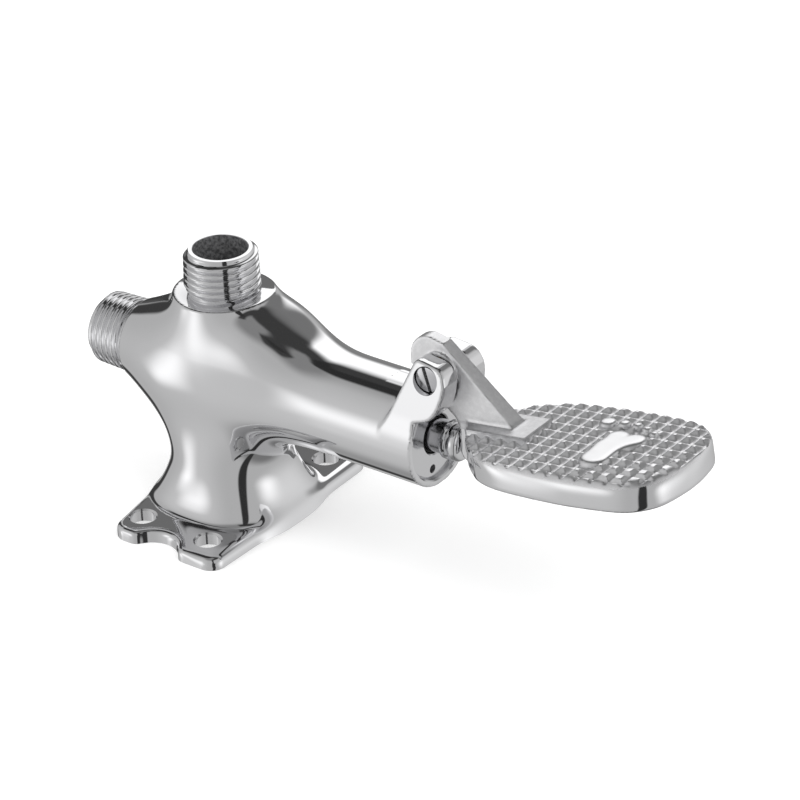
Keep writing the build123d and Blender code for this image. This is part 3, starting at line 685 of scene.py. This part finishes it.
floor_hole = [
    (-1, 0), (-1, hole_radius), (flange_thickness - 0.45, hole_radius),
    (flange_thickness + 0.4, hole_radius + 0.85), (14, hole_radius + 0.85), (14, 0),
]
# Faces cut by the waterway, the outlet bore and the base core take the dark hole material: painted
# shade inside the casting
carve(casting, [
    cutter(below_floor, (0, 0, 0), (0, 0, 1), finish=2),
    cutter(waterway, (0, 0, axis_height), (1, 0, 0)),
    cutter(barrel_mouth, (0, 0, axis_height), (1, 0, 0), finish=2),
    cutter(outlet_bore, (0, 0, axis_height), (0, 0, 1)),
    cutter(base_core, (0, 0, 0), (0, 0, 1)),
    cutter(pivot_hole, (pivot[0], 0, pivot[1]), (0, 1, 0), finish=2),
])
carve(casting, [
    cutter(floor_hole, (sx * hole_spacing[0] / 2, sy * hole_spacing[1] / 2, 0), (0, 0, 1), 64,
           finish=2)
    for sx in (-1, 1) for sy in (-1, 1)
])
shade_from_field(casting, body_distance)
dress(casting, "housing", "body_chrome", "valve_body")


def threaded_neck(name, origin, direction):
    """A neck with a true helical taper thread, open from end to end."""
    around, rise = 160, 0.11
    rows = int(thread_length / rise)
    heights = np.linspace(0, thread_length, rows + 1)
    angles = np.arange(around) * 2 * pi / around
    turned = heights[:, None] - thread_undercut - thread_pitch * angles[None, :] / (2 * pi)
    phase = (turned / thread_pitch) % 1.0
    wave = np.clip((0.5 - np.abs(phase - 0.5)) * 2 * 1.5 - 0.25, 0, 1)
    begin = ease((heights - thread_undercut) / (0.5 * thread_pitch))[:, None]
    end = ease((thread_length - thread_lead - heights) / (0.4 * thread_pitch))[:, None]
    crest = thread_crest + 0.04 - 0.034 * heights[:, None]
    radius = crest - thread_depth + thread_depth * ease(wave) * begin * end
    radius = np.minimum(radius, crest)
    top = thread_length - heights[:, None]
    tip = np.minimum(radius, crest - thread_depth - (0.5 - top) * 0.5)
    radius = np.where(top < 0.5, tip, radius)
    rings = [np.stack([radius[row] * np.cos(angles), radius[row] * np.sin(angles),
                       np.full(around, heights[row])], 1) for row in range(rows + 1)]
    lip = radius[-1].mean()
    inner = [(thread_length, pipe_bore + 0.12), (thread_length - 0.12, pipe_bore),
             (-2.0, pipe_bore), (-2.0, lip)]
    for height, size in inner:
        rings.append(np.stack([size * np.cos(angles), size * np.sin(angles),
                               np.full(around, height)], 1))
    corners = np.concatenate(rings)
    faces, indices = [], []
    for row in range(len(rings)):
        following = (row + 1) % len(rings)
        for i in range(around):
            j = (i + 1) % around
            faces.append([row * around + i, row * around + j,
                          following * around + j, following * around + i])
            # The bore's wall takes the dark hole material: painted shade inside the neck
            indices.append(1 if rows + 2 <= row <= rows + 3 else 0)
    return shade(new_object(name, place_along(corners, origin, direction), faces,
                            [chrome, inside], indices), 40)


outlet_neck = threaded_neck("outlet_neck", (0, 0, spotface_height), (0, 0, 1))
dress(outlet_neck, "housing", "body_chrome")
inlet_neck = threaded_neck("inlet_neck", (collar_place, 0, axis_height), (-1, 0, 0))
dress(inlet_neck, "housing", "body_chrome")

# Pedal, meshed in step with its tread
cells_per_pitch = 10
step = (tread_pitch[0] / cells_per_pitch, tread_pitch[1] / cells_per_pitch, 0.4)
start = (tread_valley[0] - 55.5 // step[0] * step[0] + step[0] / 2,
         tread_valley[1] - 21.5 // step[1] * step[1] + step[1] / 2, -13.5)
corners, quads = surface_net(pedal_distance, start, (53, 21.5, 23.5), step)
u, v, w = corners.T
placed = np.stack([pad_origin[0] + u * cos(pad_tilt) - w * sin(pad_tilt), v,
                   pad_origin[1] + u * sin(pad_tilt) + w * cos(pad_tilt)], 1)
along, across, over = corners[quads].mean(1).T
rim_faces = (pad_outline_distance(along, across) > -0.35) & (over < -0.2)
low_faces = over < -1.6
web_faces = (along > -22) & (np.abs(across) < 3.2) & (over > -1.4)
polished = (rim_faces | low_faces) & ~web_faces
marked = (mark_distance(along, across, over) > -0.1) & (over > -0.2) & (along > 14)
# The step round the web's foot takes the darker satin copy: painted shade where the web stands
# over it
step_shade = (np.abs(across) < 6.6) & (along < 5.8) & (np.abs(over - 0.75) < 0.5)
pedal = new_object("pedal_casting", placed, quads, [chrome, satin, worn, satin_shaded],
                   np.where(marked, 2, np.where(step_shade, 3, np.where(polished, 0, 1))))
shade(pedal, 24)
dress(pedal, "foot_lever", "pedal_chrome", "pedal")

# Gland nut with the two pin holes for its key, wiper and button
gland = turned_object("gland_nut_face", [
    (56.2, stem_radius + 0.05), (66.0, stem_radius + 0.05), (66.0, 5.43),
    (gland_face - 0.3, 5.43), (gland_face, 5.73), (gland_face, 11.5),
    (gland_face - 0.5, 12.07), (56.2, 12.07),
], (0, 0, axis_height), (1, 0, 0), [chrome_machined, inside])
key_reach, key_angle = 9.5, radians(257)
key_across, key_up = key_reach * cos(key_angle), key_reach * sin(key_angle)
# The key holes' walls take the dark hole material: painted shade in the holes
carve(gland, [
    cutter([(65.6, 0), (65.6, 1.2), (70, 1.2), (70, 0)],
           (0, side * key_across, axis_height + side * key_up), (1, 0, 0), 48)
    for side in (-1, 1)
])
shade(gland)
dress(gland, "housing", "body_chrome", "gland_nut")

wiper = turned_object("wiper_lip", [
    (66.05, stem_radius + 0.1), (67.3, stem_radius + 0.1), (67.9, 4.7), (67.9, 4.95),
    (67.3, 5.1), (67.3, 5.25), (67.6, 5.38), (66.05, 5.38),
], (0, 0, axis_height), (1, 0, 0), [rubber])
dress(wiper, "housing", "rubber", "wiper_ring")

button = turned_object("button_head", [
    (button_back, 0), (button_back, 5.05), (button_back + 0.2, 5.25), (button_back + 0.9, 5.25),
    (button_back + 1.1, 5.05), (button_back + 1.1, 4.8), (button_back + 1.5, 4.8),
    (button_back + 1.5, 4.95), (button_back + 1.7, 5.1), (button_front - 1.2, 5.1),
    (button_front - 0.7, 5.0), (button_front - 0.3, 4.7), (button_front - 0.08, 4.3),
    (button_front, 3.9), (button_front, 0),
], (0, 0, axis_height), (1, 0, 0), [chrome])
shade(button, 40)
dress(button, "plunger", "body_chrome", "push_button")

# Return spring: one end stands on the housing, the other on the plunger
spring_start, spring_end, spring_wire, spring_mean, spring_turns = 25.8, 50.0, 0.68, 7.6, 7
around, along = 16, 48 * spring_turns
rings = []
for k in range(along + 1):
    angle = 2 * pi * spring_turns * k / along
    place_x = spring_start + 0.7 + (spring_end - spring_start - 1.4) * k / along
    for i in range(around):
        ahead = spring_wire * sin(2 * pi * i / around)
        reach = spring_mean + spring_wire * cos(2 * pi * i / around)
        rings.append((place_x + ahead, reach * cos(angle), axis_height + reach * sin(angle)))
faces = [[k * around + i, k * around + (i + 1) % around,
          (k + 1) * around + (i + 1) % around, (k + 1) * around + i]
         for k in range(along) for i in range(around)]
faces += [list(range(around))[::-1], [along * around + i for i in range(around)]]
spring = shade(new_object("return_spring_coil", rings, faces, [spring_steel]), 50)
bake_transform(spring)
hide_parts("return_spring")

# Pivot screw with its slot
head_top = ear_outer - screw_recess
head_radius = 3.5
slot_half = 0.55
screw = turned_object("pivot_screw_slotted", [
    (-8.5, 0), (-8.5, 2.2), (-8.2, 2.5), (head_top - 2.2, 2.5),
    (head_top - 2.2, head_radius), (head_top - 0.3, head_radius),
    (head_top - 0.08, head_radius - 0.1), (head_top, head_radius - 0.3), (head_top, 0),
], (pivot[0], 0, pivot[1]), (0, -1, 0), [steel, inside], 96)
slot_ahead, slot_up = cos(radians(108)), sin(radians(108))
# The slot's walls take the dark hole material: painted shade in the slot
slot_box = new_object("cutter", [
    (pivot[0] + a * slot_ahead - b * slot_up, -d, pivot[1] + a * slot_up + b * slot_ahead)
    for d in (head_top - 1.0, head_top + 1.0) for a in (-5, 5) for b in (-slot_half, slot_half)
], [[0, 1, 3, 2], [4, 6, 7, 5], [0, 4, 5, 1], [2, 3, 7, 6], [0, 2, 6, 4], [1, 5, 7, 3]],
    [None, None], [1] * 6)
carve(screw, [slot_box])
shade(screw)
dress(screw, "housing", "bright_steel", "pivot_screw")

# ---------------------------------------------------------------- studio
floor_mesh = bpy.data.meshes.new("floor")
floor_mesh.from_pydata([(-4, -4, 0), (4, -4, 0), (4, 4, 0), (-4, 4, 0)], [], [[0, 1, 2, 3]])
floor = bpy.data.objects.new("floor", floor_mesh)
floor.location.z = -0.00005
bpy.context.scene.collection.objects.link(floor)
floor.visible_glossy = False


class Graph:
    """Short ways to write sums of nodes."""

    def __init__(self, tree):
        self.nodes, self.links = tree.nodes, tree.links

    def add(self, kind, **settings):
        """A new node with its settings."""
        node = self.nodes.new(kind)
        for name, value in settings.items():
            setattr(node, name, value)
        return node

    def feed(self, socket, value):
        """Joins another node's output to a socket, or sets a plain number on it."""
        if hasattr(value, "links"):
            self.links.new(value, socket)
        else:
            socket.default_value = value

    def sum(self, operation, *values):
        """The result of one math operation."""
        node = self.add("ShaderNodeMath", operation=operation)
        for socket, value in zip(node.inputs, values):
            self.feed(socket, value)
        return node.outputs[0]

    def ramp(self, value, start, end, low=0.0, high=1.0):
        """From low at start to high at end, smoothly."""
        node = self.add("ShaderNodeMapRange", interpolation_type="SMOOTHSTEP")
        for name, given in zip(("Value", "From Min", "From Max", "To Min", "To Max"),
                               (value, start, end, low, high)):
            self.feed(node.inputs[name], given)
        return node.outputs[0]

    def band(self, value, start, end, soft):
        """1 between start and end and 0 outside, with soft edges."""
        rise = self.ramp(value, start - soft, start + soft)
        return self.sum("MULTIPLY", rise, self.ramp(value, end - soft, end + soft, 1.0, 0.0))

    def spot(self, across, up, centre, reach):
        """1 at a centre and 0 from one reach away."""
        a = self.sum("DIVIDE", self.sum("SUBTRACT", across, centre[0]), reach[0])
        b = self.sum("DIVIDE", self.sum("SUBTRACT", up, centre[1]), reach[1])
        squares = self.sum("ADD", self.sum("MULTIPLY", a, a), self.sum("MULTIPLY", b, b))
        return self.ramp(self.sum("SQRT", squares), 1.0, 0.0)

    def layer(self, under, over, mask):
        """What lies under, with another value over it where the mask is 1."""
        node = self.add("ShaderNodeMix", data_type="FLOAT")
        self.feed(node.inputs["Factor"], mask)
        self.feed(node.inputs["A"], under)
        self.feed(node.inputs["B"], over)
        return node.outputs["Result"]


# The floor is white paper, lifted to white for the camera alone
paper = bpy.data.materials.new("floor_paper")
paper.use_nodes = True
graph = Graph(paper.node_tree)
graph.nodes.clear()
path = graph.add("ShaderNodeLightPath")
matt = graph.add("ShaderNodeBsdfDiffuse")
matt.inputs["Color"].default_value = (0.9, 0.9, 0.9, 1)
lift = graph.add("ShaderNodeEmission")
lift.inputs["Color"].default_value = (1, 1, 1, 1)
graph.links.new(graph.sum("MULTIPLY", path.outputs["Is Camera Ray"], 0.3), lift.inputs["Strength"])
both = graph.add("ShaderNodeAddShader")
graph.links.new(matt.outputs[0], both.inputs[0])
graph.links.new(lift.outputs[0], both.inputs[1])
graph.links.new(both.outputs[0], graph.add("ShaderNodeOutputMaterial").inputs["Surface"])
floor_mesh.materials.append(paper)

# The studio, as polished metal mirrors it: a grey room with soft bright spots, then
# panels and gaps. Turns are degrees round +Z, counted from +X in front and from -X
# behind, and the rise is degrees over the floor. The camera itself sees white.
world = bpy.data.worlds.new("studio")
bpy.context.scene.world = world
world.use_nodes = True
graph = Graph(world.node_tree)
graph.nodes.clear()
path = graph.add("ShaderNodeLightPath")
place = graph.add("ShaderNodeSeparateXYZ")
graph.links.new(graph.add("ShaderNodeTexCoord").outputs["Generated"], place.inputs[0])
x, y, z = place.outputs
turn_front = graph.sum("MULTIPLY", graph.sum("ARCTAN2", y, x), 180 / pi)
flip_x, flip_y = graph.sum("MULTIPLY", x, -1.0), graph.sum("MULTIPLY", y, -1.0)
turn_back = graph.sum("MULTIPLY", graph.sum("ARCTAN2", flip_y, flip_x), 180 / pi)
rise = graph.sum("MULTIPLY", graph.sum("ARCSINE", z), 180 / pi)
room = graph.ramp(rise, -68.0, -46.0, 0.2, 0.5)
sky = graph.sum("MULTIPLY", room, graph.ramp(rise, 46.0, 70.0, 1.0, 0.5))
# Spots: brightness, the turn it is counted in, its centre and its reach
for bright, angle, centre, reach in [
    (0.68, turn_back, (52.0, -3.0), (62.0, 80.0)),
    (1.25, turn_back, (39.0, -18.0), (21.0, 20.0)),
    (1.18, turn_back, (58.5, 0.0), (24.0, 23.0)),
    (0.78, turn_front, (45.0, -3.0), (70.0, 48.0)),
    (1.2, turn_front, (12.0, -3.0), (32.0, 28.0)),
]:
    sky = graph.layer(sky, bright, graph.spot(angle, rise, centre, reach))
# Panels, each over those before it: brightness, where it lies in turn and in rise.
# They are the table, the side, the bright wall behind, the arch, the ring, the
# corner, and the dark gaps at the back and at the front
for bright, in_turn, in_rise in [
    (0.24, graph.band(turn_front, 108.0, 140.0, 6.0), graph.band(rise, -40.0, 8.0, 4.0)),
    (0.2, graph.band(turn_front, 60.0, 102.0, 8.0), graph.band(rise, 14.0, 64.0, 8.0)),
    (1.3, graph.band(turn_front, 102.0, 139.0, 6.0), graph.band(rise, 13.0, 55.0, 5.0)),
    (0.05, graph.band(turn_front, 50.0, 100.0, 8.0), graph.band(rise, 50.0, 79.0, 5.0)),
    (0.05, graph.ramp(turn_front, -70.0, -56.0), graph.band(rise, 61.0, 79.0, 4.0)),
    (0.03, graph.band(turn_back, -36.0, 9.0, 5.0), graph.band(rise, 48.0, 77.0, 4.0)),
    (0.05, graph.band(turn_back, -33.0, -15.0, 3.0), graph.band(rise, -60.0, 60.0, 4.0)),
    (0.035, graph.band(turn_front, -47.0, -31.0, 2.0), graph.ramp(rise, 78.0, 70.0)),
]:
    sky = graph.layer(sky, bright, graph.sum("MULTIPLY", in_turn, in_rise))
strength = graph.layer(0.75, sky, path.outputs["Is Glossy Ray"])
strength = graph.layer(strength, 1.0, path.outputs["Is Camera Ray"])
light = graph.add("ShaderNodeBackground")
graph.links.new(strength, light.inputs["Strength"])
light.inputs["Color"].default_value = (1, 1, 1, 1)
graph.links.new(light.outputs[0], graph.add("ShaderNodeOutputWorld").inputs["Surface"])

# A dark card behind the inlet, seen only in what mirrors it
card_middle, card_height = (-0.110, 0.120), 0.13
card_end = (-0.766 * 0.055, -0.643 * 0.055)
card_mesh = bpy.data.meshes.new("card")
card_mesh.from_pydata([
    (card_middle[0] + side * card_end[0], card_middle[1] + side * card_end[1], height)
    for side, height in ((-1, 0.0), (1, 0.0), (1, card_height), (-1, card_height))
], [], [[0, 1, 2, 3]])
card = bpy.data.objects.new("card", card_mesh)
bpy.context.scene.collection.objects.link(card)
for hidden in ("visible_camera", "visible_diffuse", "visible_transmission", "visible_shadow"):
    setattr(card, hidden, False)
board = bpy.data.materials.new("card_board")
board.use_nodes = True
graph = Graph(board.node_tree)
graph.nodes.clear()
place = graph.add("ShaderNodeSeparateXYZ")
graph.links.new(graph.add("ShaderNodeTexCoord").outputs["Object"], place.inputs[0])
glow = graph.add("ShaderNodeEmission")
graph.links.new(graph.ramp(place.outputs["Z"], 0.02, 0.095, 0.05, 0.17), glow.inputs["Strength"])
graph.links.new(glow.outputs[0], graph.add("ShaderNodeOutputMaterial").inputs["Surface"])
card_mesh.materials.append(board)


def lamp(name, place, aim, size, power):
    """A soft square lamp at a place, turned to what it lights."""
    data = bpy.data.lights.new(name, "AREA")
    data.shape = "RECTANGLE"
    data.size, data.size_y = size
    data.energy = power
    obj = bpy.data.objects.new(name, data)
    obj.location = place
    obj.rotation_euler = (Vector(aim) - Vector(place)).to_track_quat("-Z", "Y").to_euler()
    obj.visible_glossy = False
    bpy.context.scene.collection.objects.link(obj)
    return obj


lamp("key", (0.9, -0.1, 0.9), (0.05, 0, 0.03), (0.8, 0.8), 5)
lamp("fill", (-0.8, -0.6, 0.8), (0.05, 0, 0.03), (0.8, 0.8), 4)

# Camera solved from the photograph
camera_data = bpy.data.cameras.new("camera")
camera_data.lens = 163.16
camera_data.sensor_width = 36
camera = bpy.data.objects.new("camera", camera_data)
camera_place = (0.551707, -0.647844, 0.501687)
right = (0.80555, 0.59161, -0.03311)
up = (-0.26484, 0.40946, 0.87304)
back = (0.53006, -0.69450, 0.48652)
turn_matrix = Matrix((right, up, back)).transposed().to_4x4()
camera.matrix_world = Matrix.Translation(camera_place) @ turn_matrix
bpy.context.scene.collection.objects.link(camera)
bpy.context.scene.camera = camera
bpy.context.scene.view_settings.view_transform = "Standard"
